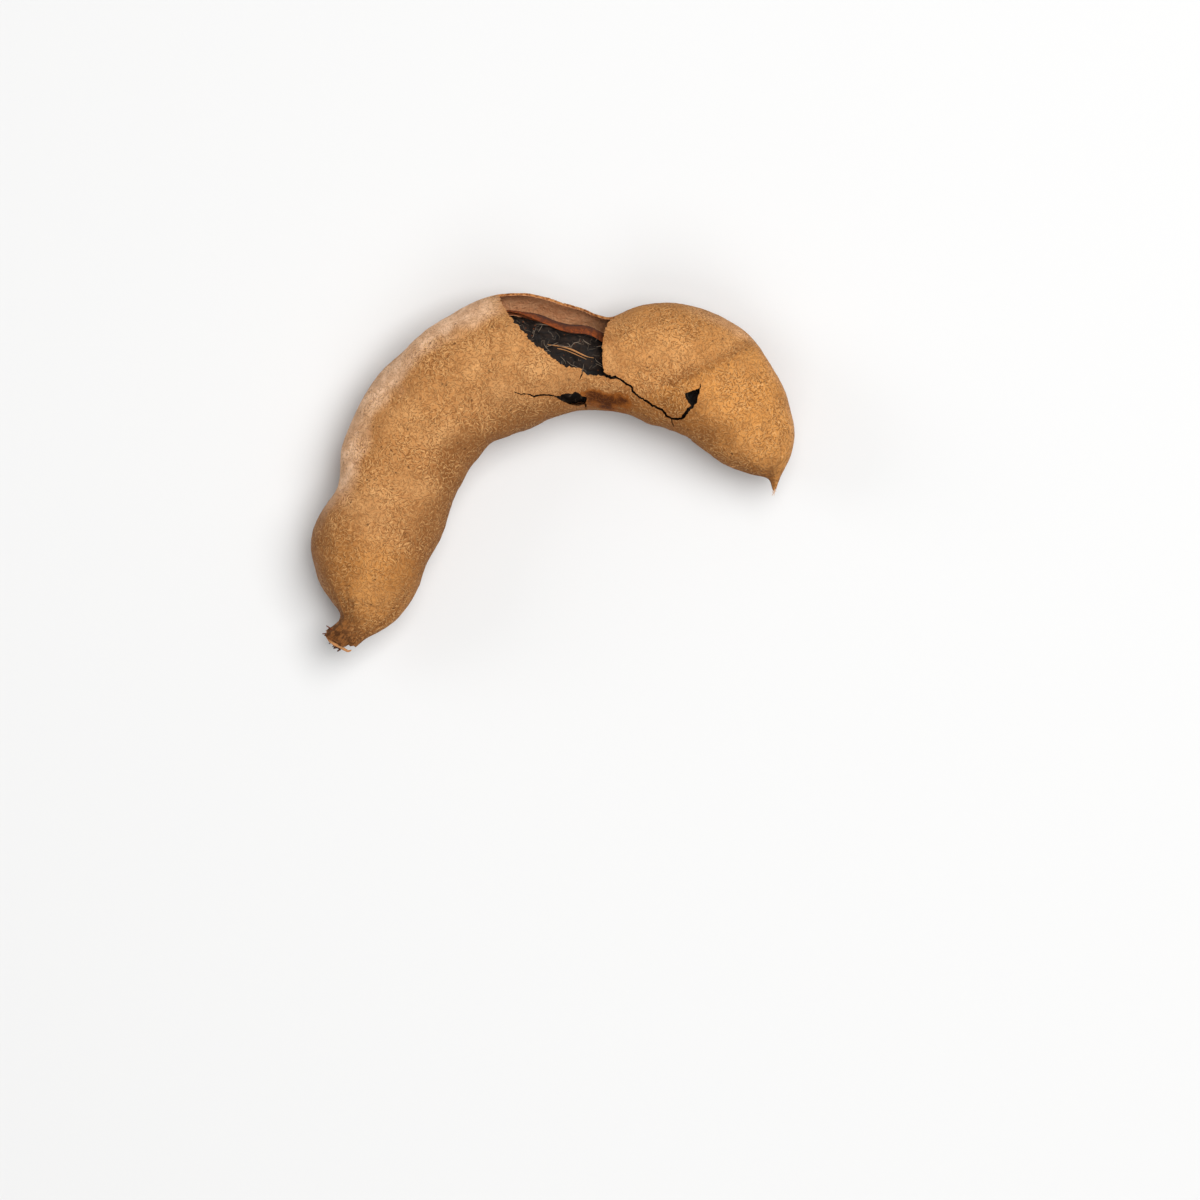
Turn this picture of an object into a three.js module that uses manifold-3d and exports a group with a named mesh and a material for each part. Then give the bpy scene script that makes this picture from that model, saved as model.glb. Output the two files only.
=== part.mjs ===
// A ripe tamarind pod lying on its side, seen in plan as an arch that runs from a torn stalk end at the
// lower left, up over the top and down to a small beak at the right. Its brittle shell has cracked: a piece
// has fallen out of the top, a split and a small hole stand beside it, and the dark pulp and the fibre
// strands inside show through. Millimetres, +Z up. The origin is under the middle of the pod's box, on the
// surface that the pod rests on. +X runs across the arch and +Y points to its crown.
import * as THREE from "three";
import { mergeVertices } from "three/addons/utils/BufferGeometryUtils.js";
import Module from "manifold-3d";

// Driving dimensions
const WALL = 0.9; // thickness of the shell
const MID_HEIGHT = 10.4; // the plane of the arch above the surface it rests on
const SQUARENESS = 2.25; // 2 makes the section an ellipse, more makes its shoulders fuller
const PULP_ROOM = { outer: 3.6, inner: 0.9, above: 3.2, below: 0.55 }; // gaps between pulp and shell
// The fibre strands: a flat band along the outside of the bend, and a thin one on top of the pulp. Each lies
// at the first turn of the section up to a distance along the pod, and at the second beyond another.
const BAND = { width: 2.2, height: 0.8, turns: [0, 0.16], rolls: [74, 84] };
const THREAD = { width: 0.9, height: 0.7, turns: [0.38, 0.49], rolls: [79, 92] };
const CLEAR = 0.9; // gap between the strands and the pulp
const CRACK = 0.5; // width of the open cracks

// The pod's line from the torn stalk end to the beak: the middle of the section in plan, then how far the
// skin stands from it on the outside of the bend, on the inside of the bend, and above and below.
const STATIONS = [
  { x: -46.0, y: -36.8, outer: 3.4, inner: 3.2, half: 2.9 },
  { x: -41.3, y: -32.2, outer: 3.0, inner: 3.2, half: 2.9 },
  { x: -39.4, y: -28.2, outer: 6.0, inner: 7.4, half: 5.6 },
  { x: -38.6, y: -22.8, outer: 9.8, inner: 11.0, half: 8.9 },
  { x: -37.2, y: -15.3, outer: 12.7, inner: 12.0, half: 10.8 },
  { x: -33.3, y: -7.4, outer: 11.7, inner: 11.7, half: 9.5 },
  { x: -30.4, y: 0.7, outer: 13.2, inner: 11.6, half: 9.7 },
  { x: -26.5, y: 8.9, outer: 14.1, inner: 12.4, half: 10.1 },
  { x: -20.1, y: 16.3, outer: 13.5, inner: 13.4, half: 10.5 },
  { x: -12.2, y: 21.2, outer: 13.9, inner: 13.9, half: 10.8 },
  { x: -3.5, y: 23.7, outer: 12.7, inner: 13.7, half: 10.1 },
  { x: 4.4, y: 23.3, outer: 10.9, inner: 11.4, half: 9.0 },
  { x: 11.2, y: 22.4, outer: 9.3, inner: 10.1, half: 8.3 },
  { x: 18.0, y: 22.4, outer: 11.6, inner: 11.6, half: 9.5 },
  { x: 24.9, y: 21.4, outer: 12.9, inner: 12.2, half: 10.4 },
  { x: 31.9, y: 17.9, outer: 12.7, inner: 12.0, half: 10.8 },
  { x: 37.7, y: 12.2, outer: 11.4, inner: 10.6, half: 9.6 },
  { x: 41.8, y: 6.2, outer: 8.6, inner: 8.6, half: 7.4 },
  { x: 44.2, y: 1.7, outer: 5.0, inner: 4.8, half: 4.4 },
  { x: 45.3, y: -1.3, outer: 1.3, inner: 1.3, half: 1.2 },
  { x: 45.2, y: -3.9, outer: 0.6, inner: 0.6, half: 0.6 },
];
const CHANNELS = Object.keys(STATIONS[0]);
const BOX_MIDDLE = { x: -0.12, y: -0.19 }; // of the finished pod, in the stations' plane
const LAST = STATIONS.length - 1;

// Where the shell is broken, in plan
const LEFT_EDGE = [
  [-11.5, 36.4],
  [-10.6, 34.9],
  [-9.6, 32.5],
  [-8.1, 30.0],
  [-5.4, 27.9],
  [-2.8, 25.2],
  [1.7, 21.8],
  [5.6, 20.9],
  [8.6, 19.6],
  [13.0, 18.9],
];
const RIGHT_EDGE = [
  [12.2, 19.3],
  [10.2, 20.5],
  [10.0, 25.2],
  [10.9, 30.0],
  [11.8, 31.4],
];
const LONG_CRACK = [
  [12.4, 19.1],
  [15.6, 17.7],
  [17.5, 15.3],
  [21.9, 13.0],
  [24.2, 10.9],
  [26.2, 10.9],
  [28.2, 13.4],
];
const NOTCH = [
  [26.8, 15.8],
  [29.2, 16.4],
  [30.3, 17.1],
  [29.4, 14.1],
  [28.4, 13.1],
  [27.5, 13.9],
];
const SPLIT = [
  [-1.0, 15.5],
  [2.1, 15.8],
  [4.7, 16.3],
  [6.8, 15.2],
  [6.5, 14.0],
  [4.6, 13.7],
  [1.7, 14.4],
];
const SPLIT_CRACK = [
  [-7.7, 16.1],
  [-3.7, 15.3],
  [-0.4, 15.5],
];
// The far rim of the window, seen from the crown's side: how far below the plane of the arch it is torn
const FAR_RIM = [
  [-14, 1.0],
  [-9, 0.4],
  [-4, 1.8],
  [2, 3.6],
  [8, 2.4],
  [12, 0.2],
  [16, -1.0],
];
const STALK_TEAR = [
  [-48.6, -32.2],
  [-46.3, -34.4],
  [-43.9, -36.0],
  [-40.6, -37.4],
];

const wasm = await Module();
wasm.setup();

const smooth = (a, b, v) => THREE.MathUtils.smoothstep(v, a, b);

// Numbers from 0 to 1 that come out alike each time
function seeded(seed) {
  let state = seed;
  return () => {
    state = (state * 1664525 + 1013904223) % 4294967296;
    return state / 4294967296;
  };
}

// Catmull-Rom through four values
function through(a, b, c, d, t) {
  const rise = (c - a) / 2;
  const fall = (d - b) / 2;
  return (
    b +
    rise * t +
    (3 * (c - b) - 2 * rise - fall) * t * t +
    (2 * (b - c) + rise + fall) * t * t * t
  );
}

// The pod's line at t, which counts stations
function at(t) {
  const i = Math.min(LAST - 1, Math.max(0, Math.floor(t)));
  const near = (k) => STATIONS[Math.min(LAST, Math.max(0, k))];
  const value = (c) =>
    through(near(i - 1)[c], near(i)[c], near(i + 1)[c], near(i + 2)[c], t - i);
  return Object.fromEntries(CHANNELS.map((c) => [c, value(c)]));
}

// Distances along the line in millimetres, for even rings and for relief at one scale
const STEPS = 40;
const distances = [0];
for (let i = 1; i <= LAST * STEPS; i++) {
  const a = at((i - 1) / STEPS);
  const b = at(i / STEPS);
  distances.push(distances[i - 1] + Math.hypot(b.x - a.x, b.y - a.y));
}
const LENGTH = distances[LAST * STEPS];

function distanceAt(t) {
  const i = Math.min(LAST * STEPS - 1, Math.floor(t * STEPS));
  return THREE.MathUtils.lerp(distances[i], distances[i + 1], t * STEPS - i);
}

function stationAt(distance) {
  const i = distances.findIndex((d, k) => k > 0 && d >= distance);
  if (i < 0) return LAST;
  const share = (distance - distances[i - 1]) / (distances[i] - distances[i - 1]);
  return (i - 1 + share) / STEPS;
}

// Unit vector in plan that points to the outside of the bend
function outwards(t) {
  const a = at(Math.max(0, t - 0.5));
  const b = at(Math.min(LAST, t + 0.5));
  return new THREE.Vector2(a.y - b.y, b.x - a.x).normalize();
}

// A point of the section at t: across to the outside of the bend, and up from the plane of the arch
function place(t, across, up) {
  const p = at(t);
  const n = outwards(t);
  return new THREE.Vector3(p.x + n.x * across, p.y + n.y * across, MID_HEIGHT + up);
}

// Low swells and dents of the shell, as a share of its radius
function swell(distance, angle) {
  return (
    0.022 * Math.sin(0.19 * distance + 2 * angle) +
    0.016 * Math.sin(0.33 * distance - 3 * angle + 1.3) +
    0.009 * Math.sin(0.61 * distance + 4 * angle + 0.6)
  );
}

const rounded = (v) => Math.sign(v) * Math.abs(v) ** (2 / SQUARENESS);

// The shell's section, set in by a distance, but never past its middle
function section(t, angle, inset) {
  const p = at(t);
  const side = Math.cos(angle) > 0 ? p.outer : p.inner;
  const swollen = 1 + swell(distanceAt(t), angle);
  const across = rounded(Math.cos(angle)) * Math.max(0, side * swollen - inset);
  const up = rounded(Math.sin(angle)) * Math.max(0, p.half * swollen - inset);
  return new THREE.Vector2(across, up);
}

function shellPoint(t, angle, inset) {
  const { x, y } = section(t, angle, inset);
  return place(t, x, y);
}

// Where a body that starts and ends inside the shell closes over its ends
function closing(distance, from, to, over) {
  const left = Math.min(distance - from, to - distance) / over;
  return left >= 1 ? 1 : Math.sqrt(Math.max(0, 1 - (1 - left) ** 2));
}

function cavityPoint(t, angle) {
  const middle = place(t, 0, 0);
  const wall = shellPoint(t, angle, WALL);
  return middle.lerp(wall, closing(distanceAt(t), -9, CAVITY_END, 8));
}

const CAVITY_END = LENGTH - 6.5;
const PULP_START = 11;
const PULP_END = CAVITY_END - 2.5;
const SEED_PITCH = 15; // the pulp bulges over each seed and is waisted between them
const WAIST = 1.4; // how deep the waists are

// The room between shell and pulp: most on top and at the outside of the bend, least where the pulp lies
function pulpRoom(distance, angle) {
  const c = Math.cos(angle);
  const s = Math.sin(angle);
  const sideways = c > 0 ? PULP_ROOM.outer : PULP_ROOM.inner;
  const upright = s > 0 ? PULP_ROOM.above : PULP_ROOM.below;
  const waist = 0.5 + 0.5 * Math.cos((2 * Math.PI * (distance - 7)) / SEED_PITCH);
  const wrinkle = 0.5 + 0.5 * Math.sin(5 * angle + 0.45 * distance) * Math.cos(0.8 * distance);
  const free = 1 - 0.9 * Math.max(0, -s, -c);
  return sideways * c * c + upright * s * s + free * (WAIST * waist + 0.4 * wrinkle);
}

function pulpPoint(t, angle) {
  const distance = distanceAt(t);
  const skin = shellPoint(t, angle, WALL + pulpRoom(distance, angle));
  const middle = place(t, 0, -1);
  return middle.lerp(skin, closing(distance, PULP_START, PULP_END, 9));
}

const CLOSER_ENDS = 0.07; // rings stand closer together towards both ends

// A closed skin of rings round the pod's line, with a fan over each end
function sweep(point, from, to, rings, sides) {
  const places = [];
  const faces = [];
  for (let r = 0; r < rings; r++) {
    const share = r / (rings - 1);
    const eased = share - CLOSER_ENDS * Math.sin(2 * Math.PI * share);
    const t = stationAt(from + (to - from) * eased);
    for (let k = 0; k < sides; k++) places.push(point(t, (2 * Math.PI * k) / sides));
  }
  const centre = (start) =>
    places
      .slice(start, start + sides)
      .reduce((sum, p) => sum.add(p), new THREE.Vector3())
      .divideScalar(sides);
  const last = (rings - 1) * sides;
  places.push(centre(0), centre(last));
  for (let k = 0; k < sides; k++) {
    const next = (k + 1) % sides;
    for (let r = 0; r < rings - 1; r++) {
      const a = r * sides;
      faces.push(a + k, a + sides + k, a + next, a + next, a + sides + k, a + sides + next);
    }
    faces.push(rings * sides, k, next, rings * sides + 1, last + next, last + k);
  }
  return new THREE.BufferGeometry().setFromPoints(places).setIndex(faces);
}

// Shapes as solids that join and cut, and back
function solid(geometry) {
  const bare = geometry.clone();
  bare.deleteAttribute("normal");
  bare.deleteAttribute("uv");
  const merged = mergeVertices(bare, 1e-4);
  const mesh = { numProp: 3, vertProperties: merged.attributes.position.array };
  mesh.triVerts = new Uint32Array(merged.index.array);
  const made = new wasm.Manifold(new wasm.Mesh(mesh));
  if (made.volume() > 0) return made;
  for (let i = 0; i < mesh.triVerts.length; i += 3) {
    [mesh.triVerts[i + 1], mesh.triVerts[i + 2]] = [mesh.triVerts[i + 2], mesh.triVerts[i + 1]];
  }
  return new wasm.Manifold(new wasm.Mesh(mesh));
}

function drawn(body) {
  const { numProp, vertProperties, triVerts } = body.getMesh();
  const places = new THREE.InterleavedBuffer(vertProperties, numProp);
  const geometry = new THREE.BufferGeometry();
  geometry.setAttribute("position", new THREE.InterleavedBufferAttribute(places, 3, 0));
  geometry.setIndex(new THREE.BufferAttribute(triVerts, 1));
  const flat = geometry.toNonIndexed();
  flat.computeVertexNormals();
  return flat;
}

// Without the slivers that joining leaves
function largest(body) {
  return body.decompose().reduce((a, b) => (b.volume() > a.volume() ? b : a));
}

// A line broken into short uneven teeth
function ragged(points, step, depth, random) {
  const out = [];
  points.forEach(([x, y], i) => {
    out.push([x, y]);
    if (i === points.length - 1) return;
    const [toX, toY] = points[i + 1];
    const length = Math.hypot(toX - x, toY - y);
    const parts = Math.max(1, Math.round(length / step));
    for (let k = 1; k < parts; k++) {
      const off = (random() * 2 - 1) * depth;
      const share = k / parts;
      out.push([
        x + (toX - x) * share - ((toY - y) / length) * off,
        y + (toY - y) * share + ((toX - x) / length) * off,
      ]);
    }
  });
  return out;
}

// A thin outline along a crack, closing to a point at its ends
function crackOutline(points, width) {
  const side = (sign) =>
    points.map(([x, y], i) => {
      const [ax, ay] = points[Math.max(0, i - 1)];
      const [bx, by] = points[Math.min(points.length - 1, i + 1)];
      const length = Math.hypot(bx - ax, by - ay);
      const half = (sign * width) / 2;
      return [x - ((by - ay) / length) * half, y + ((bx - ax) / length) * half];
    });
  return [...side(1), ...side(-1).reverse()];
}

// A tall prism over an outline in plan
function prism(outline, bottom, top) {
  const shape = new THREE.Shape(outline.map(([x, y]) => new THREE.Vector2(x, y)));
  const geometry = new THREE.ExtrudeGeometry(shape, { depth: top - bottom, bevelEnabled: false });
  return solid(geometry.translate(0, 0, bottom));
}

const TOP = 30;

// The window that the fallen piece has left, down to its torn far rim
function windowCutter(random) {
  const left = ragged(LEFT_EDGE, 1.6, 0.28, random);
  const right = ragged(RIGHT_EDGE, 1.6, 0.2, random);
  const beyond = [
    [13.4, 40],
    [-11.5, 40],
  ];
  const inPlan = prism([...left, ...right, ...beyond], 0, TOP);
  const rim = ragged(
    FAR_RIM.map(([x, drop]) => [x, MID_HEIGHT - drop]),
    2,
    0.35,
    random,
  );
  const above = new THREE.Shape(
    [...rim, [16, TOP], [-14, TOP]].map(([x, z]) => new THREE.Vector2(x, z)),
  );
  const fromCrown = new THREE.ExtrudeGeometry(above, { depth: 30, bevelEnabled: false });
  fromCrown.rotateX(Math.PI / 2).translate(0, 42, 0);
  return inPlan.intersect(solid(fromCrown));
}

// Everything that is missing from the shell's upper side
function breakCutters(random) {
  const cracks = [LONG_CRACK, SPLIT_CRACK].map((line) =>
    prism(crackOutline(ragged(line, 2.2, 0.15, random), CRACK), MID_HEIGHT, TOP),
  );
  return [
    windowCutter(random),
    prism(ragged(NOTCH, 1.4, 0.1, random), MID_HEIGHT, TOP),
    prism(ragged(SPLIT, 1.4, 0.12, random), MID_HEIGHT, TOP),
    ...cracks,
  ];
}

function shell() {
  const random = seeded(7);
  const tear = ragged(STALK_TEAR, 1, 0.3, random);
  const lost = prism([...tear, [-44, -42], [-52, -38]], 0, TOP);
  const table = solid(new THREE.BoxGeometry(140, 140, 20).translate(0, 0, -10));
  const cavity = solid(sweep(cavityPoint, 0, CAVITY_END, 50, 20));
  let body = solid(sweep((t, angle) => shellPoint(t, angle, 0), 0, LENGTH, 76, 28));
  for (const cutter of [cavity, lost, table, ...breakCutters(random)]) {
    body = body.subtract(cutter);
  }
  return drawn(body);
}

function pulp() {
  return drawn(solid(sweep(pulpPoint, PULP_START, PULP_END, 46, 18)));
}

// A round fibre along a line of points
function tube(points, radius) {
  const circle = new THREE.Shape();
  circle.absarc(0, 0, radius, 0, 2 * Math.PI);
  const options = { steps: points.length - 1, curveSegments: 3, bevelEnabled: false };
  options.extrudePath = new THREE.CatmullRomCurve3(points);
  return solid(new THREE.ExtrudeGeometry(circle, options));
}

const BUNDLE_END = 6.5; // where the strands part, measured along the pod's line
const STRAND_START = BUNDLE_END - 2;
const STRAND_END = CAVITY_END - 1.6;

// A strand leaves the bundle, lies on the pulp, and joins the others before the beak
function strandPoint({ width, height, turns, rolls }) {
  return (t, angle) => {
    const distance = distanceAt(t);
    const rolled = THREE.MathUtils.lerp(...turns, smooth(...rolls, distance));
    const turn = Math.PI * rolled;
    const inset = WALL + pulpRoom(distance, turn) - CLEAR - height / 2;
    const spread = Math.min(
      smooth(STRAND_START, BUNDLE_END + 5, distance),
      1 - smooth(CAVITY_END - 4.5, STRAND_END, distance),
    );
    const middle = section(t, turn, inset).multiplyScalar(spread);
    const out = section(t, turn, 0).normalize();
    const proud = (height / 2) * Math.sin(angle);
    const aside = (width / 2) * Math.cos(angle);
    return place(t, middle.x + out.x * proud - out.y * aside, middle.y + out.y * proud + out.x * aside);
  };
}

function strand(shape) {
  return solid(sweep(strandPoint(shape), STRAND_START, STRAND_END, 44, 8));
}

// Fibre ends in the torn stalk end, which part as they leave it
function frayedEnds(random) {
  const root = place(stationAt(4), 0, 0);
  const mouth = place(stationAt(1.9), 0, 0);
  const along = place(0, 0, 0).sub(mouth).normalize();
  const ends = [];
  for (let i = 0; i < 6; i++) {
    const turn = (2 * Math.PI * (i + 0.5 * random())) / 6;
    const aside = new THREE.Vector3(-along.y, along.x, 0).multiplyScalar(Math.cos(turn));
    aside.z = Math.sin(turn);
    const bend = mouth.clone().addScaledVector(aside, 0.7);
    const tip = mouth.clone().addScaledVector(along, 0.3 + 0.7 * random());
    tip.addScaledVector(aside, 0.8 + 0.4 * random());
    ends.push(tube([root.clone().addScaledVector(aside, 0.5), bend, tip], 0.38));
  }
  return ends;
}

function strands() {
  const random = seeded(21);
  const bundle = [2, 4.3, BUNDLE_END].map((distance) => place(stationAt(distance), 0, 0));
  let body = tube(bundle, 1.1);
  for (const part of [strand(BAND), strand(THREAD), ...frayedEnds(random)]) {
    body = body.add(part);
  }
  return drawn(largest(body));
}

function piece(name, geometry, color, roughness) {
  const material = new THREE.MeshStandardMaterial({ color, roughness, metalness: 0 });
  geometry.translate(-BOX_MIDDLE.x, -BOX_MIDDLE.y, 0);
  const mesh = new THREE.Mesh(geometry, material);
  mesh.name = name;
  return mesh;
}

const pod = new THREE.Group();
pod.add(piece("shell", shell(), 0xb98a58, 0.85));
pod.add(piece("pulp", pulp(), 0x1f1714, 0.55));
pod.add(piece("strands", strands(), 0xa8622c, 0.7));

export default pod;
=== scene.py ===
"""A tamarind pod lying on its side, its brittle shell broken open over dark pulp and fibre strands.

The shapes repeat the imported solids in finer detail: the same line of stations in millimetres, with relief,
ragged breaks, wrinkled pulp and single fibres. Everything is made in millimetres in the stations' plane,
then moved to the frame's origin and scaled to metres.
"""

import math

import bmesh
import bpy
import numpy as np
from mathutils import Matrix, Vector
from mathutils.bvhtree import BVHTree
from mathutils.kdtree import KDTree


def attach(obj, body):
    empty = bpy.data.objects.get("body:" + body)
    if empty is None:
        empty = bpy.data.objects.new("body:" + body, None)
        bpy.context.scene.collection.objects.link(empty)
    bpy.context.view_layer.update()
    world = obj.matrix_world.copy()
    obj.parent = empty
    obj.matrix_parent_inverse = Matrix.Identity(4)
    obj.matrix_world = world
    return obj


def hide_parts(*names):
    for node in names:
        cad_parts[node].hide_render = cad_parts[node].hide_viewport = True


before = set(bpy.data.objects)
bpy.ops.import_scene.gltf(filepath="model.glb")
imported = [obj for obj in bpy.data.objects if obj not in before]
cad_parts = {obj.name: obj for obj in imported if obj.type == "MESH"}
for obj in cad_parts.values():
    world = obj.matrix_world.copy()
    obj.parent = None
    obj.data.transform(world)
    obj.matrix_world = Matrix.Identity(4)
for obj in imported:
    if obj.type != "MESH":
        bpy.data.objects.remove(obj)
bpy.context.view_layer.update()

MM = 0.001
BOX_MIDDLE = np.array([-0.12, -0.19, 0.0])  # of the finished pod, in the stations' plane
MID_HEIGHT = 10.4  # of the pod's line over the floor
SQUARENESS = 2.25  # 2 would be an ellipse
WALL = 0.5  # of the shell, as its torn edges show it
STEPS = 40  # between two stations, where distances along the line are measured
SKIN_GRID, CAVITY_GRID, PULP_GRID = (400, 176), (150, 70), (320, 140)  # rings and sides when swept
SHARP_ANGLE = 38  # edges of the breaks turn by more degrees than that
TOUCHING = 0.02  # as near to the table as that, the skin lies on it

# x, y, outer, inner, half: the same line as the solids have
STATIONS = np.array(
    [
        [-46.0, -36.8, 3.4, 3.2, 2.9],
        [-41.3, -32.2, 3.0, 3.2, 2.9],
        [-39.4, -28.2, 6.0, 7.4, 5.6],
        [-38.6, -22.8, 9.8, 11.0, 8.9],
        [-37.2, -15.3, 12.7, 12.0, 10.8],
        [-33.3, -7.4, 11.7, 11.7, 9.5],
        [-30.4, 0.7, 13.2, 11.6, 9.7],
        [-26.5, 8.9, 14.1, 12.4, 10.1],
        [-20.1, 16.3, 13.5, 13.4, 10.5],
        [-12.2, 21.2, 13.9, 13.9, 10.8],
        [-3.5, 23.7, 12.7, 13.7, 10.1],
        [4.4, 23.3, 10.9, 11.4, 9.0],
        [11.2, 22.4, 9.3, 10.1, 8.3],
        [18.0, 22.4, 11.6, 11.6, 9.5],
        [24.9, 21.4, 12.9, 12.2, 10.4],
        [31.9, 17.9, 12.7, 12.0, 10.8],
        [37.7, 12.2, 11.4, 10.6, 9.6],
        [41.8, 6.2, 8.6, 8.6, 7.4],
        [44.2, 1.7, 5.0, 4.8, 4.4],
        [45.3, -1.3, 1.3, 1.3, 1.2],
        [45.2, -3.9, 0.6, 0.6, 0.6],
    ]
)
LAST = len(STATIONS) - 1

# Breaks in the upper side of the shell, in plan
LEFT_EDGE = [
    (-11.5, 36.4), (-10.7, 35.3), (-10.5, 34.3), (-9.5, 32.6), (-8.1, 30.9), (-7.8, 30.1), (-7.1, 29.9),
    (-6.8, 29.0), (-5.2, 27.9), (-5.4, 27.5), (-4.4, 26.3), (-3.3, 25.3), (-2.9, 25.4), (-1.6, 24.4),
    (-0.6, 23.4), (0.7, 22.5), (2.3, 21.5), (3.9, 21.1), (5.1, 21.1), (6.0, 20.9), (6.1, 20.3),
    (6.8, 19.8), (8.6, 19.5), (9.5, 19.5), (10.9, 19.0),
]
RIGHT_EDGE = [
    (12.0, 19.3), (10.9, 19.8), (10.3, 20.3), (10.1, 21.9), (10.0, 23.4), (10.15, 24.8), (9.9, 25.2),
    (10.1, 25.9), (10.2, 27.3), (10.6, 28.8), (11.1, 30.3), (11.7, 31.2), (12.6, 31.5), (13.2, 33.5),
]
LONG_CRACK = [
    (10.5, 19.5), (11.9, 19.1), (13.1, 19.1), (14.8, 17.9), (15.8, 17.3), (16.3, 16.3), (17.7, 15.0),
    (19.7, 13.9), (21.3, 13.0), (22.6, 12.2), (23.1, 11.4), (24.4, 10.7), (26.2, 10.7), (27.2, 11.9),
    (28.4, 13.4), (28.7, 14.3),
]
NOTCH = [
    (26.9, 15.8), (28.7, 16.5), (30.1, 16.9), (29.9, 16.0), (29.5, 15.0), (29.4, 13.9), (28.3, 13.2),
    (27.5, 14.0), (27.0, 15.0),
]
SPLIT = [
    (0.1, 15.3), (1.5, 15.4), (1.7, 15.7), (3.2, 15.9), (3.9, 15.8), (4.6, 16.3), (5.4, 15.8),
    (6.0, 15.3), (6.8, 15.2), (6.8, 14.5), (6.5, 13.8), (4.9, 13.4), (3.5, 13.6), (1.7, 14.4),
]
SPLIT_CRACK = [
    (-5.5, 15.7), (-4.7, 15.6), (-3.9, 15.2), (-2.9, 15.5), (-1.6, 15.6), (0.6, 15.3),
]
SHORT_CRACKS = [
    [(6.6, 14.0), (6.7, 12.9), (6.9, 12.4)],
    [(6.0, 21.0), (5.9, 19.8), (5.4, 18.6)],
    [(24.2, 10.9), (24.3, 10.0), (24.7, 9.0)],
    [(30.1, 16.8), (30.0, 17.9)],
    [(-8.0, 16.2), (-6.6, 15.6), (-5.5, 15.7)],
]
CHIP = [(26.1, 7.6), (27.0, 7.3), (28.3, 6.5), (28.3, 5.0), (26.0, 5.0)]
CREASE = [(24.3, 17.9), (28.4, 19.6), (32.7, 21.5), (36.0, 23.1), (40.6, 26.4)]
FAR_RIM = [(-14, 1.0), (-9, 0.4), (-4, 1.8), (2, 3.6), (8, 2.4), (12, 0.2), (16, -1.0)]
STALK_TEAR = [
    (-48.8, -31.4), (-47.4, -31.9), (-46.5, -33.0), (-47.0, -33.6), (-45.6, -34.6), (-44.6, -34.9),
    (-43.6, -35.8), (-42.6, -35.9), (-41.9, -35.5), (-41.0, -35.7), (-39.9, -36.4),
]
STAIN = [(7.6, 15.3), (10.6, 14.3), (14.0, 14.2)]
TOP = 30.0  # above everything that is cut
LONG_CRACK_WIDTH = 0.48
WIDE_CRACK_WIDTH = 0.75  # where the long crack runs into the window and the notch
SPLIT_CRACK_WIDTH = 0.36
SHORT_CRACK_WIDTHS = [0.36, 0.24, 0.24, 0.24, 0.24]
CAP_LIFT = 0.3  # of the long crack's beak side, which has sprung up


# The pod's line

def line_at(t):
    """Catmull-Rom through the stations: rows of x, y, outer, inner and half."""
    t = np.atleast_1d(np.asarray(t, float))
    i = np.clip(np.floor(t).astype(int), 0, LAST - 1)
    u = (t - i)[:, None]
    a, b, c, d = (STATIONS[np.clip(i + k, 0, LAST)] for k in (-1, 0, 1, 2))
    rise, fall = (c - a) / 2, (d - b) / 2
    square = 3 * (c - b) - 2 * rise - fall
    cube = 2 * (b - c) + rise + fall
    return b + rise * u + square * u**2 + cube * u**3


SAMPLES = np.arange(LAST * STEPS + 1) / STEPS
DISTANCES = np.concatenate(
    [[0], np.cumsum(np.linalg.norm(np.diff(line_at(SAMPLES)[:, :2], axis=0), axis=1))]
)
LENGTH = DISTANCES[-1]
CAVITY_END = LENGTH - 6.5


def station_at(distance):
    """Where along the stations a distance in millimetres along the pod falls."""
    return np.interp(distance, DISTANCES, SAMPLES)


def outwards(t):
    """The direction in plan that points out of the bend."""
    a = line_at(np.clip(t - 0.5, 0, LAST))
    b = line_at(np.clip(t + 0.5, 0, LAST))
    n = np.stack([a[:, 1] - b[:, 1], b[:, 0] - a[:, 0]], 1)
    return n / np.linalg.norm(n, axis=1, keepdims=True)


def hump(v, middle, width):
    """1 at the middle, fading evenly on both sides of it."""
    return np.exp(-(((v - middle) / width) ** 2))


def smooth(low, high, v):
    """0 up to low and 1 from high on, with a soft rise between them, or the other way round."""
    u = np.clip((v - low) / (high - low), 0, 1)
    return u * u * (3 - 2 * u)


# Distances, noise and relief

def segment_distance(points, line):
    """How far each point is, in plan, from a line of points."""
    best = np.full(len(points), 1e9)
    for a, b in zip(np.array(line[:-1]), np.array(line[1:])):
        u = np.clip(((points - a) @ (b - a)) / max(1e-9, (b - a) @ (b - a)), 0, 1)
        best = np.minimum(best, np.linalg.norm(points - a - u[:, None] * (b - a), axis=1))
    return best


def inside(points, polygon):
    """Which points lie inside a polygon in plan."""
    within = np.zeros(len(points), bool)
    corners = np.array(polygon)
    for a, b in zip(corners, np.roll(corners, -1, 0)):
        crosses = (a[1] > points[:, 1]) != (b[1] > points[:, 1])
        x = (b[0] - a[0]) * (points[:, 1] - a[1]) / (b[1] - a[1] + 1e-12) + a[0]
        within ^= crosses & (points[:, 0] < x)
    return within


def lattice(corner, seed):
    """A repeatable number from -1 to 1 for each whole-numbered corner."""
    x, y, z = (corner[:, k].astype(np.int64) for k in range(3))
    h = (x * 374761393 + y * 668265263 + z * 2147483647 + seed * 1274126177) & 0xFFFFFFFF
    h = ((h ^ (h >> 13)) * 1103515245) & 0xFFFFFFFF
    h = ((h ^ (h >> 16)) * 2654435761) & 0xFFFFFFFF
    return ((h ^ (h >> 15)) & 0xFFFF) / 32767.5 - 1


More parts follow.
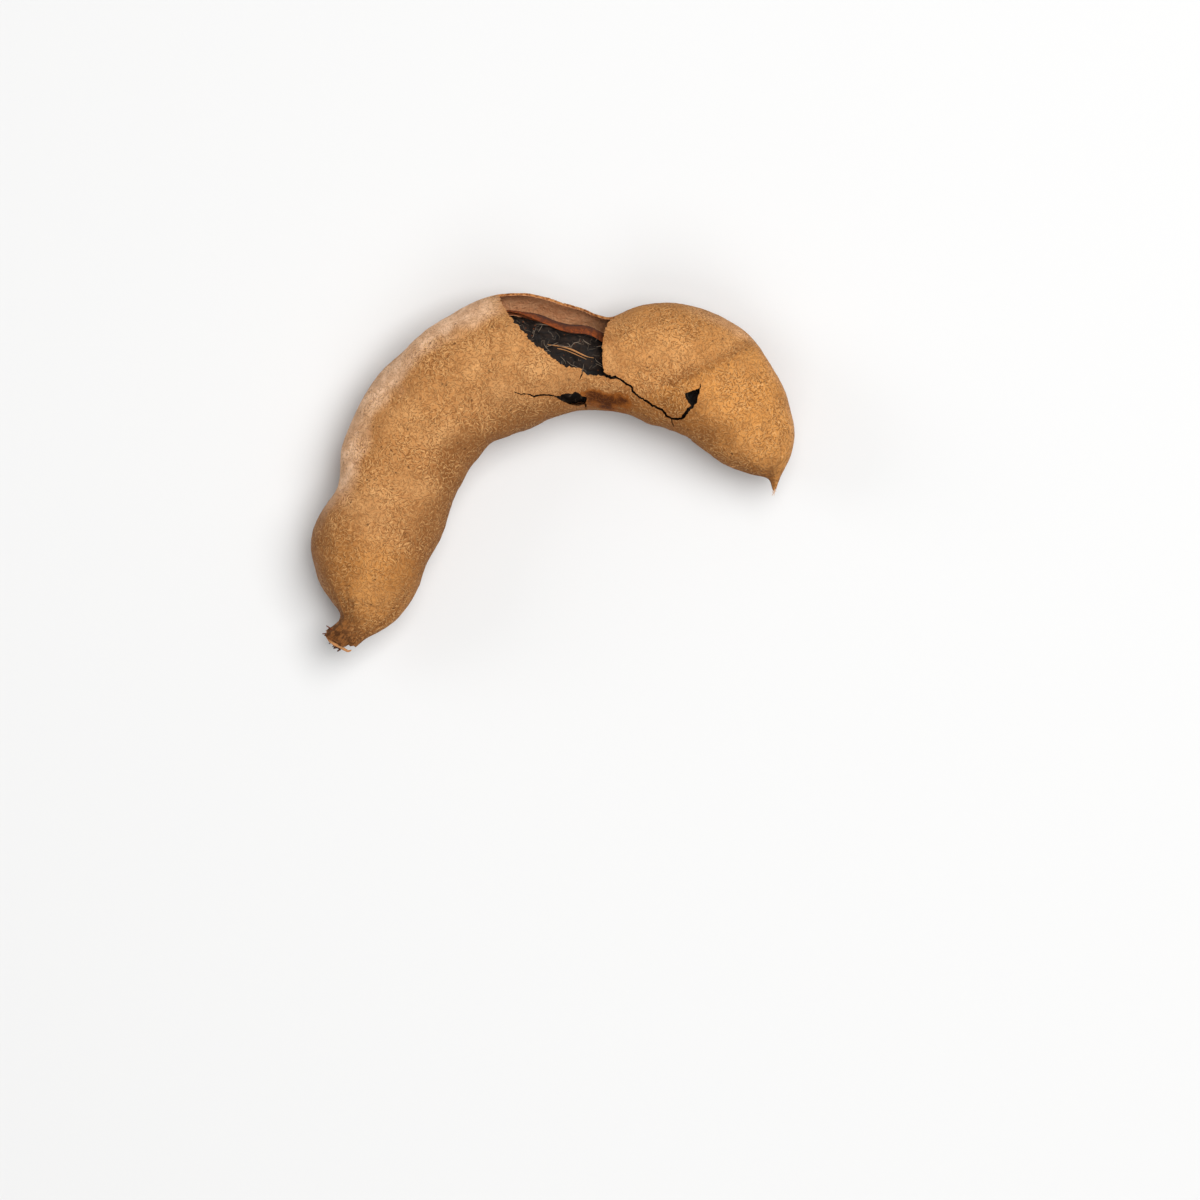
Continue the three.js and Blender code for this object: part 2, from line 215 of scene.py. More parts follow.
def noise(points, size, seed):
    """Smooth value noise from -1 to 1 with lumps of about that size."""
    p = points / size
    corner = np.floor(p)
    f = p - corner
    f = f * f * f * (f * (f * 6 - 15) + 10)
    total = np.zeros(len(p))
    for dx in (0, 1):
        for dy in (0, 1):
            for dz in (0, 1):
                weight = (
                    (f[:, 0] if dx else 1 - f[:, 0])
                    * (f[:, 1] if dy else 1 - f[:, 1])
                    * (f[:, 2] if dz else 1 - f[:, 2])
                )
                total += weight * lattice(corner + (dx, dy, dz), seed)
    return total


def swell(distance, angle):
    """Slow waves of the section, as a share of its size, that the solids have too."""
    return (
        0.022 * np.sin(0.19 * distance + 2 * angle)
        + 0.016 * np.sin(0.33 * distance - 3 * angle + 1.3)
        + 0.009 * np.sin(0.61 * distance + 4 * angle + 0.6)
    )


def rounded(v):
    """Turns a circle's sine or cosine into that of the pod's squarer section."""
    return np.sign(v) * np.abs(v) ** (2 / SQUARENESS)


def place(t, across, up):
    """Points so far out of the bend and so far above the pod's line."""
    p = line_at(t)
    n = outwards(t)
    xy = p[:, :2] + n * np.asarray(across)[:, None]
    return np.column_stack([xy, MID_HEIGHT + np.asarray(up) * np.ones(len(p))])


def section_point(distance, angle, inset):
    """A point of the shell's section, set in from the skin."""
    t = station_at(distance)
    p = line_at(t)
    side = np.where(np.cos(angle) > 0, p[:, 2], p[:, 3])
    swollen = 1 + swell(distance, angle)
    across = rounded(np.cos(angle)) * (side * swollen - inset)
    up = rounded(np.sin(angle)) * (p[:, 4] * swollen - inset)
    return place(t, across, up)


def crease_side(points):
    """How far beyond the crease a point is, towards the beak, in millimetres."""
    a, b = np.array(CREASE[0]), np.array(CREASE[-1])
    along = (b - a) / np.linalg.norm(b - a)
    return (points[:, 0] - a[0]) * along[1] - (points[:, 1] - a[1]) * along[0]


def relief(distance, angle, points):
    """Dents and wrinkles that skin and inner wall share, in millimetres outwards."""
    lumps = 0.11 * noise(points, 6.5, 1) + 0.06 * noise(points, 2.6, 2)
    # Long folds at the neck and the beak
    round_line = np.column_stack([distance * 0.07, np.cos(angle) * 3.1, np.sin(angle) * 3.1])
    folds = 0.3 - np.abs(noise(round_line, 0.9, 3))
    fine_folds = 0.3 - np.abs(noise(round_line * (1.6, 1, 1), 0.42, 8))
    neck = np.exp(-np.abs(distance - 3) / 5.5)
    beak = hump(LENGTH - distance, 0, 8.0) * (0.75 - 0.4 * np.cos(angle))
    wrinkles = (folds + 0.6 * fine_folds) * (2.6 * neck + 0.8 * beak)
    # The crease across the cap with a bulge beyond it, and the ridge along the arm
    upper = smooth(0, 0.4, np.sin(angle))
    away = segment_distance(points[:, :2], CREASE)
    bulge = smooth(-0.5, 2.5, crease_side(points)) * hump(away, 2.8, 2.6)
    crease = 0.26 * bulge - 0.2 * hump(away, 0, 2.0)
    along_arm = smooth(36, 52, distance) * (1 - smooth(74, 82, distance))
    ridge = 0.22 * hump(rounded(np.cos(angle)), 0.64, 0.09) * along_arm
    return lumps + wrinkles + (crease + ridge) * upper


def skin_point(distance, angle):
    """The shell's outside."""
    base = section_point(distance, angle, 0)
    fine = 0.04 * noise(base, 1.0, 4) + 0.03 * noise(base, 0.6, 5)
    lift = relief(distance, angle, base) + fine
    inset = np.minimum(1, 1.4 * radius_at(distance) / 10)
    skin = section_point(distance, angle, -lift * inset)
    middle = place(station_at(distance), np.zeros(len(distance)), 0)
    return middle + (skin - middle) * closing(distance, -20, LENGTH + 0.02, 2.4)[:, None]


def radius_at(distance):
    """Half the pod's height there."""
    return line_at(station_at(distance))[:, 4]


def closing(distance, start, end, over):
    """1 along the middle, and rounded off to 0 at the start and the end."""
    left = np.minimum(distance - start, end - distance) / over
    return np.where(left >= 1, 1, np.sqrt(np.clip(1 - (1 - left) ** 2, 0, None)))


def wall_point(distance, angle):
    """The shell's inside."""
    base = section_point(distance, angle, 0)
    inset = np.minimum(1, 1.4 * radius_at(distance) / 10)
    lift = relief(distance, angle, base) * inset - 0.04 * noise(base, 1.4, 6)
    wall = section_point(distance, angle, WALL - lift)
    middle = place(station_at(distance), np.zeros(len(distance)), 0)
    return middle + (wall - middle) * closing(distance, -9, CAVITY_END, 8)[:, None]


# The pulp starts and ends there, and leaves this much room to the shell on each side
PULP_START, PULP_END = 11.0, CAVITY_END - 2.5
SEED_PITCH, WAIST = 15.0, 1.4
ROOM_OUTER, ROOM_INNER, ROOM_ABOVE, ROOM_BELOW = 3.6, 0.9, 3.2, 0.55
SHELL_WALL = 0.9  # of the solids, from which the pulp's room is counted


def pulp_room(distance, angle):
    """How far the pulp stays clear of the shell, more between two seeds."""
    c, s = np.cos(angle), np.sin(angle)
    sideways = np.where(c > 0, ROOM_OUTER, ROOM_INNER)
    upright = np.where(s > 0, ROOM_ABOVE, ROOM_BELOW)
    waist = 0.5 + 0.5 * np.cos(2 * np.pi * (distance - 7) / SEED_PITCH)
    free = 1 - 0.9 * np.maximum(0, np.maximum(-s, -c))
    return sideways * c * c + upright * s * s + free * (WAIST * waist + 0.2)


def pulp_point(distance, angle):
    """The pulp's lumpy, wrinkled skin."""
    room = SHELL_WALL + pulp_room(distance, angle)
    base = section_point(distance, angle, room)
    along = np.column_stack([distance * 0.22, np.cos(angle) * 7.5, np.sin(angle) * 7.5])
    bumps = (
        0.34 * noise(base, 3.4, 11)
        + 0.34 * (0.35 - np.abs(noise(base, 1.9, 12)))
        + 0.16 * noise(base, 0.8, 13)
        + 0.2 * (0.4 - np.abs(noise(along, 0.8, 14)))
    )
    free = np.clip(1.2 + np.sin(angle), 0.15, 1)
    skin = section_point(distance, angle, room - bumps * free)
    middle = place(station_at(distance), np.zeros(len(distance)), -1)
    return middle + (skin - middle) * closing(distance, PULP_START, PULP_END, 9)[:, None]


# Meshes

def to_frame(points):
    """From millimetres in the stations' plane to metres in the part's frame."""
    return (np.asarray(points) - BOX_MIDDLE) * MM


def add_mesh(name, points, faces):
    mesh = bpy.data.meshes.new(name)
    mesh.from_pydata(to_frame(points).tolist(), [], faces)
    mesh.update()
    piece = bpy.data.objects.new(name, mesh)
    bpy.context.scene.collection.objects.link(piece)
    return piece


def swept(point, start, end, rings, sides):
    """Points and faces of a closed skin of rings round the pod's line, closer together towards both ends."""
    share = np.linspace(0, 1, rings)
    eased = share - 0.07 * np.sin(2 * np.pi * share)
    distance = np.repeat(start + (end - start) * eased, sides)
    angle = np.tile(np.arange(sides) * 2 * np.pi / sides, rings)
    points = point(distance, angle)
    points = np.vstack([points, points[:sides].mean(0), points[-sides:].mean(0)])
    faces = []
    last = (rings - 1) * sides
    for k in range(sides):
        n = (k + 1) % sides
        for r in range(0, last, sides):
            faces.append((r + k, r + n, r + sides + n, r + sides + k))
        faces.append((rings * sides, k, n)[::-1])
        faces.append((rings * sides + 1, last + n, last + k)[::-1])
    return points, faces


def fix_normals(piece):
    bm = bmesh.new()
    bm.from_mesh(piece.data)
    bmesh.ops.recalc_face_normals(bm, faces=bm.faces)
    bm.to_mesh(piece.data)
    bm.free()


def weld(piece):
    """Joins points that lie in one place, where a ring has closed to a point."""
    bm = bmesh.new()
    bm.from_mesh(piece.data)
    bmesh.ops.remove_doubles(bm, verts=bm.verts, dist=0.0001 * MM)
    bm.to_mesh(piece.data)
    bm.free()


def ragged(points, step, depth, random, closed=False):
    """A line broken into short uneven teeth."""
    ends = points + [points[0]] if closed else points
    out = []
    for (ax, ay), (bx, by) in zip(ends[:-1], ends[1:]):
        length = math.hypot(bx - ax, by - ay)
        parts = max(1, round(length / step))
        out.append((ax, ay))
        for k in range(1, parts):
            off = depth * random.uniform(-1, 1) ** 3  # mostly little, now and then a tooth
            slide = (k + random.uniform(-0.3, 0.3)) / parts
            out.append(
                (
                    ax + (bx - ax) * slide - (by - ay) / length * off,
                    ay + (by - ay) * slide + (bx - ax) / length * off,
                )
            )
    if not closed:
        out.append(points[-1])
    return out


def crack_outline(points, width, random):
    """A thin outline along a crack, which closes to a point at its ends."""
    line = np.array(points)
    ahead = np.roll(line, -1, 0)
    behind = np.roll(line, 1, 0)
    ahead[-1], behind[0] = line[-1], line[0]
    along = ahead - behind
    along /= np.linalg.norm(along, axis=1, keepdims=True)
    normal = np.stack([-along[:, 1], along[:, 0]], 1)
    share = np.linspace(0, 1, len(line))
    taper = np.minimum(1, np.minimum(share, 1 - share) * 8 + 0.12)
    left, right = (
        0.5 * width * taper * random.uniform(0.5, 1.3, len(line)) for _ in range(2)
    )
    upper = line + normal * left[:, None]
    lower = line - normal * right[:, None]
    return [tuple(p) for p in upper] + [tuple(p) for p in lower[::-1]]


def prism(name, outline, bottom, top, upright=True):
    """A closed prism over an outline in plan, or seen from the crown's side if not upright."""
    bm = bmesh.new()
    if upright:
        corners = [(x, y, bottom) for x, y in outline]
        reach = Vector((0, 0, (top - bottom) * MM))
    else:
        corners = [(x, bottom, z) for x, z in outline]
        reach = Vector((0, (top - bottom) * MM, 0))
    verts = [bm.verts.new(p) for p in to_frame(corners)]
    face = bm.faces.new(verts)
    grown = bmesh.ops.extrude_face_region(bm, geom=[face])
    moved = [v for v in grown["geom"] if isinstance(v, bmesh.types.BMVert)]
    bmesh.ops.translate(bm, verts=moved, vec=reach)
    bmesh.ops.recalc_face_normals(bm, faces=bm.faces)
    bmesh.ops.triangulate(bm, faces=bm.faces)
    mesh = bpy.data.meshes.new(name)
    bm.to_mesh(mesh)
    bm.free()
    piece = bpy.data.objects.new(name, mesh)
    bpy.context.scene.collection.objects.link(piece)
    return piece


def boolean(piece, others, operation="DIFFERENCE"):
    """Cuts or joins the others in turn, bakes the result into the piece's mesh, and removes them."""
    for other in others:
        cut = piece.modifiers.new(other.name, "BOOLEAN")
        cut.operation = operation
        cut.solver = "MANIFOLD"
        cut.object = other
    graph = bpy.context.evaluated_depsgraph_get()
    done = bpy.data.meshes.new_from_object(piece.evaluated_get(graph))
    piece.modifiers.clear()
    piece.data = done
    for other in others:
        bpy.data.objects.remove(other)


def shade_smooth(piece):
    """Smooth shading that keeps the edges of the breaks sharp."""
    piece.data.shade_smooth()
    piece.data.set_sharp_from_angle(angle=math.radians(SHARP_ANGLE))


# The shell

def breaks():
    """Everything that is missing from the shell's upper side."""
    random = np.random.default_rng(7)
    window = (
        ragged(LEFT_EDGE, 0.34, 0.3, random)
        + ragged(RIGHT_EDGE, 0.34, 0.24, random)
        + [(13.4, 40.0), (-11.5, 40.0)]
    )
    in_plan = prism("window", window, 0, TOP)
    rim = ragged([(x, MID_HEIGHT - drop) for x, drop in FAR_RIM], 0.35, 0.3, random)
    above = rim + [(16.0, TOP), (-14.0, TOP)]
    from_crown = prism("rim", above, 12, 42, upright=False)
    boolean(in_plan, [from_crown], "INTERSECT")
    long_crack = crack_outline(ragged(LONG_CRACK, 0.35, 0.2, random), LONG_CRACK_WIDTH, random)
    notch_crack = ragged(LONG_CRACK[-4:], 0.35, 0.15, random)
    notch_crack = crack_outline(notch_crack, WIDE_CRACK_WIDTH, random)
    split_crack = ragged(SPLIT_CRACK, 0.35, 0.12, random)
    split_crack = crack_outline(split_crack, SPLIT_CRACK_WIDTH, random)
    notch = ragged(NOTCH, 0.3, 0.14, random, closed=True)
    split = ragged(SPLIT, 0.3, 0.1, random, closed=True)
    cutters = [
        in_plan,
        prism("long_crack", long_crack, MID_HEIGHT, TOP),
        prism("notch_crack", notch_crack, MID_HEIGHT, TOP),
        prism("split_crack", split_crack, MID_HEIGHT, TOP),
        prism("notch", notch, MID_HEIGHT, TOP),
        prism("split", split, MID_HEIGHT, TOP),
        prism("chip", ragged(CHIP, 0.3, 0.12, random, closed=True), MID_HEIGHT - 1.5, TOP),
    ]
    for i, (line, width) in enumerate(zip(SHORT_CRACKS, SHORT_CRACK_WIDTHS)):
        outline = crack_outline(ragged(line, 0.3, 0.1, random), width, random)
        cutters.append(prism(f"short_crack_{i}", outline, MID_HEIGHT, TOP))
    window_crack = ragged(LONG_CRACK[:3], 0.35, 0.12, random)
    window_crack = crack_outline(window_crack, WIDE_CRACK_WIDTH, random)
    cutters.append(prism("window_crack", window_crack, MID_HEIGHT, TOP))
    return cutters


def read_points(mesh):
    co = np.empty(len(mesh.vertices) * 3)
    mesh.vertices.foreach_get("co", co)
    return co.reshape(-1, 3) / MM + BOX_MIDDLE


def write_points(mesh, points):
    mesh.vertices.foreach_set("co", to_frame(points).ravel())
    mesh.update()


def add_attribute(mesh, name, values):
    layer = mesh.attributes.new(name, "FLOAT", "POINT")
    layer.data.foreach_set("value", np.asarray(values, np.float32))


def end_nearness(points):
    """1 at the torn stalk end, half as much at the beak's tip, 0 along the pod."""
    near = np.zeros(len(points))
    stalk, tip = ((-45.0, -35.0), 9.5, 1.0), ((45.2, -3.0), 9.0, 0.5)
    for (x, y), reach, most in (stalk, tip):
        away = np.hypot(points[:, 0] - x, points[:, 1] - y)
        near = np.maximum(near, most * (1 - smooth(0, reach, away)))
    return near


def pod_place(points):
    """Each point's distance along the pod, how far out of the bend it is, from -1 to 1, and its height."""
    line = line_at(SAMPLES)
    tree = KDTree(len(line))
    for i, (x, y) in enumerate(line[:, :2]):
        tree.insert((x, y, 0), i)
    tree.balance()
    nearest = np.array([tree.find((x, y, 0))[1] for x, y in points[:, :2]])
    out = ((points[:, :2] - line[nearest, :2]) * outwards(SAMPLES)[nearest]).sum(1)
    side = np.where(out > 0, line[nearest, 2], line[nearest, 3])
    height = (points[:, 2] - MID_HEIGHT) / line[nearest, 4]
    return DISTANCES[nearest], np.clip(out / side, -1, 1), height


def zones(points):
    """Where the skin is greyer with painted sheen, more golden, or has painted shade, from 0 to 1 each.

    Limits are in millimetres along the pod, or in shares of its half width and half height.
    """
    distance, out, height = pod_place(points)
    off_crease = segment_distance(points[:, :2], CREASE)
    blur = 0.16 * noise(points, 5.0, 21) + 0.08 * noise(points, 1.8, 22)
    on_cap = smooth(94, 99, distance)
    beyond = smooth(-0.8, 0.8, crease_side(points) + 3 * blur)
    # Painted sheen: paler and greyer along the outside of the bend, where the rims catch the light
    arm_rim = smooth(0.58, 0.9, out + 0.7 * blur) * smooth(22, 36, distance)
    arm_rim *= 1 - smooth(70, 78, distance)
    lobe_rim = smooth(0.8, 0.98, out + 0.4 * blur) * (1 - smooth(24, 34, distance))
    cap_rim = smooth(0.82, 0.96, out + 0.4 * blur) * smooth(104, 112, distance)
    painted_sheen = np.clip(arm_rim + 0.8 * lobe_rim + 0.7 * cap_rim + 0.06 * on_cap * (1 - beyond), 0, 1)
    # More golden on the lobe beside the stalk and on the cap, most of all beyond its crease
    lobe = (1 - smooth(19, 30, distance)) * (1 - smooth(0.6, 1.0, np.abs(out + 0.1)))
    middle = smooth(30, 45, distance) * (1 - smooth(0.2, 0.6, np.abs(out - 0.25)))
    cap_gold = on_cap * (0.45 + 0.45 * beyond + 0.2 * smooth(0.0, 0.5, out) * (1 - beyond))
    gold = np.clip(0.8 * lobe + cap_gold + 0.12 * middle * (1 - on_cap), 0, 1)
    # Painted shade: darker below, inside the bend, in hollows, on parts of lobe and cap, and at the neck
    low = smooth(0.35, -0.55, height + blur)
    inner = smooth(-0.2, -0.9, out + blur) * smooth(-2, 42, distance)
    lobe_side = smooth(0.05, 0.7, out + blur) * (1 - smooth(22, 34, distance))
    under_rim = hump(out + 0.5 * blur, 0.54, 0.1) * smooth(34, 48, distance)
    cap_crown = smooth(0.25, 0.7, out + blur) * on_cap * (1 - smooth(104, 118, distance))
    groove = hump(off_crease, 0, 1.7) * (height > 0)
    neck = 1 - smooth(6, 12, distance)
    turn = np.arctan2(height, out)
    sunk = smooth(-0.05, -0.4, relief(distance, turn, points)) * smooth(-1.5, 0.5, height)
    whole_lobe = 0.2 * (1 - smooth(20, 34, distance))
    dark = 0.5 * low + 1.1 * inner + 0.8 * lobe_side + 0.4 * under_rim * (1 - on_cap)
    dark += 0.4 * cap_crown + 0.3 * groove + 0.9 * neck + 0.9 * sunk + whole_lobe
    return painted_sheen, gold, np.clip(dark, 0, 1)


def make_shell():
    outer = add_mesh("pod_shell", *swept(skin_point, 0, LENGTH, *SKIN_GRID))
    cavity = add_mesh("cavity", *swept(wall_point, 0, CAVITY_END, *CAVITY_GRID))
    for piece in (outer, cavity):
        fix_normals(piece)
    points = read_points(outer.data)
    skin_tree = BVHTree.FromPolygons(
        points.tolist(), [tuple(f.vertices) for f in outer.data.polygons]
    )
    random = np.random.default_rng(5)
    lost = prism("lost", ragged(STALK_TEAR, 0.3, 0.3, random) + [(-40, -42), (-52, -38)], 0, TOP)
    table = prism("table", [(-80, -80), (80, -80), (80, 80), (-80, 80)], -20, 0)
    boolean(outer, [cavity, lost, table] + breaks())
    points = read_points(outer.data)
    upper = points[:, 2] > MID_HEIGHT
    mark_shell(outer.data, points, upper, skin_tree)
    write_points(outer.data, lift_cap(points, upper))
    shade_smooth(outer)
    return outer


def mark_shell(mesh, points, upper, skin_tree):
    """Gives the shell's points what its material reads, each from 0 to 1."""
    depth = np.array([skin_tree.find_nearest(Vector(p))[3] for p in points.tolist()])
    on_table = points[:, 2] < TOUCHING
    depth[on_table] = np.minimum(depth[on_table], TOUCHING)
    lines = [LEFT_EDGE, RIGHT_EDGE, LONG_CRACK, NOTCH, SPLIT, SPLIT_CRACK] + SHORT_CRACKS
    edge = np.full(len(points), 1e9)
    for line in lines:
        edge = np.minimum(edge, segment_distance(points[:, :2], line))
    edge[~upper] = 1e9
    stain = segment_distance(points[:, :2] * (1, 1.5), [(x, 1.5 * y) for x, y in STAIN])
    stain += 1.0 * noise(points, 2.2, 23) + 0.7 * noise(points, 0.8, 24)
    painted_sheen, gold, dark = zones(points)
    layers = {
        "depth": np.clip(depth / WALL, 0, 1),
        "edge": 1 - smooth(0, 1.1, edge),
        "ends": end_nearness(points),
        "stain": (1 - smooth(-0.3, 3.8, stain)) * upper,
        # paler, greyer rims: painted sheen
        "painted_sheen": painted_sheen,
        "gold": gold,
        # darker where shade falls: painted shade
        "dark": dark,
    }
    for name, values in layers.items():
        add_attribute(mesh, name, values)


def lift_cap(points, upper):
    """The beak's side of the break has sprung up a little from the other side."""
    cap_line = RIGHT_EDGE[::-1] + LONG_CRACK[2:]
    cap = cap_line + [(60, 13.4), (60, 40)]
    away = segment_distance(points[:, :2], cap_line)
    on_cap = inside(points[:, :2], cap) & upper
    lifted = points.copy()
    lifted[:, 2] += np.where(on_cap, CAP_LIFT * np.exp(-away / 2.6), 0)
    return lifted


# Fibres

def tube(points, radii, sides):
    """Points and faces of a round rod along a line, closed at both ends."""
    points = np.asarray(points, float)
    along = np.gradient(points, axis=0)
    along /= np.linalg.norm(along, axis=1, keepdims=True) + 1e-12
    side = np.cross(along, (0.13, 0.09, 1.0))
    side /= np.linalg.norm(side, axis=1, keepdims=True)
    up = np.cross(side, along)
    turn = np.arange(sides) * 2 * np.pi / sides
    ring = (
        side[:, None] * np.cos(turn)[None, :, None] + up[:, None] * np.sin(turn)[None, :, None]
    )
    skin = (points[:, None] + ring * np.asarray(radii)[:, None, None]).reshape(-1, 3)
    faces = []
    count = len(points)
    for r in range(count - 1):
        for k in range(sides):
            n = (k + 1) % sides
            faces.append((r * sides + k, r * sides + n, (r + 1) * sides + n, (r + 1) * sides + k))
    faces.append(tuple(range(sides))[::-1])
    faces.append(tuple(range((count - 1) * sides, count * sides)))
    return skin, faces


LOOKS = ("sunk", "pale", "ash")


def looking(look, amount, tubes):
    """The tubes, each with a look of the fibres' material and how strongly its points have it."""
    return [(skin, rods, look, amount) for skin, rods in tubes]


def join_tubes(name, parts):
    """One piece of many tubes, whose points carry their tubes' looks."""
    points, faces, start = [], [], 0
    layers = {look: [] for look in LOOKS}
    for skin, rods, its_look, amount in parts:
        points.append(skin)
        faces += [tuple(i + start for i in f) for f in rods]
        start += len(skin)
        for look, values in layers.items():
            values.append(np.ones(len(skin)) * (amount if look == its_look else 0.0))
    piece = add_mesh(name, np.vstack(points), faces)
    fix_normals(piece)
    piece.data.shade_smooth()
    for look, values in layers.items():
        add_attribute(piece.data, look, np.concatenate(values))
    return piece


def wander(points, size, reach, seed):
    """Moves a line's points a little to and fro."""
    off = np.column_stack([noise(points, size, seed + k) for k in range(3)])
    return points + reach * off


BUNDLE_END = 6.5
STRAND_END = CAVITY_END - 1.6
# How far the strands are clear of the pulp, in millimetres, and how they roll round it, in half turns
BAND_CLEAR, THREAD_CLEAR = 0.7, 0.1
BAND_TURNS, BAND_ROLLS = (0, 0.16), (74, 84)
THREAD_TURNS, THREAD_ROLLS = (0.38, 0.49), (79, 92)
BAND_RINGS, BAND_SIDES = 420, 20
IN_SIGHT = (81.8, 90.2)  # the stretch of the thread that stands out of the pulp


def strand_middle(distance, turns, rolls, clear, shift=0.0):
    """The middle of a strand that lies over the pulp, and the way out of the section there."""
    turn = np.pi * (turns[0] + (turns[1] - turns[0]) * smooth(*rolls, distance) + shift)
    inset = SHELL_WALL + pulp_room(distance, turn) - clear
    spread = np.minimum(
        smooth(BUNDLE_END - 2, BUNDLE_END + 5, distance),
        1 - smooth(CAVITY_END - 4.5, STRAND_END, distance),
    )
    middle = place(station_at(distance), np.zeros(len(distance)), 0)
    room = line_at(station_at(distance))[:, 4] - inset
    reach = spread * smooth(0, 1.5, room)
    on_pulp = section_point(distance, turn, inset)
    out = section_point(distance, turn, 0) - middle
    out /= np.linalg.norm(out, axis=1, keepdims=True)
    return middle + (on_pulp - middle) * reach[:, None], out


def band_point(distance, angle):
    """A thin fibrous sheet with a thicker rim along its upper edge."""
    middle, out = strand_middle(distance, BAND_TURNS, BAND_ROLLS, BAND_CLEAR + 0.4)
    lean = 0.75 * smooth(76, 85, distance)
    out[:, 2] += lean
    out /= np.linalg.norm(out, axis=1, keepdims=True)
    near = 3 * BAND_SIDES  # three rings
    along = np.roll(middle, -near, 0) - np.roll(middle, near, 0)
    along[:near], along[-near:] = along[near], along[-near - 1]
    along /= np.linalg.norm(along, axis=1, keepdims=True)
    side = np.cross(along, out)
    side *= np.sign(side[:, 2:] + 1e-9)
    streaks = np.column_stack([distance * 0.35, 6 * np.cos(angle), 6 * np.sin(angle)])
    thick = (0.16 + 0.16 * smooth(0.55, 1, np.cos(angle))) * (1 + 0.5 * noise(streaks, 1.0, 41))
    wide = 1.05 + 0.18 * noise(middle, 2.4, 42) + 0.08 * noise(middle, 0.8, 43)
    sway = 0.2 * noise(middle, 4.0, 44)
    across = wide * np.cos(angle)
    return middle + out * (thick * np.sin(angle) + sway)[:, None] + side * across[:, None]


def thread(shift, radius, seed):
    """One fibre on top of the pulp, thick where it stands out and thin where it is stuck down."""
    distance = np.linspace(BUNDLE_END, STRAND_END, 320)
    line, out = strand_middle(distance, THREAD_TURNS, THREAD_ROLLS, THREAD_CLEAR + radius, shift)
    low, high = IN_SIGHT
    shown = smooth(low - 1, low + 2, distance) * (1 - smooth(high - 2.5, high, distance))
    line = wander(line, 3, 0.22, seed) - out * (0.55 * (1 - shown))[:, None]
    return tube(line, radius * (0.4 + 0.6 * shown) * (1 + 0.3 * noise(line, 1.3, seed + 5)), 7)


def make_strands():
    random = np.random.default_rng(31)
    band = swept(band_point, BUNDLE_END - 1, STRAND_END, BAND_RINGS, BAND_SIDES)
    turn = np.tile(np.arange(BAND_SIDES) * 2 * np.pi / BAND_SIDES, BAND_RINGS)
    lower = np.append(smooth(0.75, -0.9, np.cos(turn)), (0.5, 0.5))
    parts = looking("sunk", 0.8 * lower, [band])
    threads = [thread(0.0, 0.16, 70), thread(0.026, 0.1, 80)]
    parts += looking("pale", 0.55, threads)
    loose = []
    for i in range(6):
        distance = np.linspace(BUNDLE_END, STRAND_END, 240)
        line = strand_middle(distance, BAND_TURNS, BAND_ROLLS, 0.6, 0.022 * (i - 3.2))[0]
        line = wander(line, 5, 0.45, 50 + 7 * i)
        loose.append(tube(line, 0.11 + 0.05 * noise(line, 2, 44 + i), 6))
    parts += looking("sunk", 0.3, loose)
    parts += looking("ash", 1.0, wisps(random))
    plug, spikes, strip = torn_end(random)
    parts += looking("sunk", 0.7, plug) + looking("sunk", 0.2, spikes) + looking("pale", 0.5, strip)
    parts += looking("pale", 0.8, tip_fibres(random))
    return join_tubes("pod_strands", parts)


def wisps(random):
    """Loose hairs that curl over the pulp in the window."""
    tubes = []
    for i in range(40):
        distance = random.uniform(71, 93) + np.zeros(1)
        turn = np.pi * random.uniform(0.14, 0.78) + np.zeros(1)
        inset = SHELL_WALL + pulp_room(distance, turn) - 0.25
        start = section_point(distance, turn, inset)[0]
        out = start - place(station_at(distance), [0], 0)[0]
        out /= np.linalg.norm(out)
        heading = np.cross(out, random.normal(size=3))
        heading /= np.linalg.norm(heading)
        length, curl = random.uniform(1.2, 4.2), random.uniform(-1.6, 1.6)
        share = np.linspace(-0.5, 0.5, 12)
        aside = np.cross(out, heading)
        rise = 0.28 * np.cos(np.pi * share) - 0.1
        line = (
            start
            + heading * (share * length)[:, None]
            + aside * (curl * share**2 * length / 2)[:, None]
            + out * rise[:, None]
        )
        line = wander(line, 1.4, 0.2, 100 + i)
        tubes.append(tube(line, 0.065 * np.sqrt(np.cos(np.pi * share) + 0.08), 5))
    return tubes


def ribbon(points, widths, thickness):
    """Points and faces of a flat strip along a line, lying level, closed at both ends."""
    skin, faces = tube(points, np.ones(len(points)), 10)
    rings = skin.reshape(len(points), 10, 3)
    middle = np.asarray(points, float)[:, None]
    off = rings - middle
    flat = off * (1, 1, 0) * np.asarray(widths)[:, None, None] / 2
    flat[:, :, 2] = off[:, :, 2] * thickness / 2
    return (middle + flat).reshape(-1, 3), faces


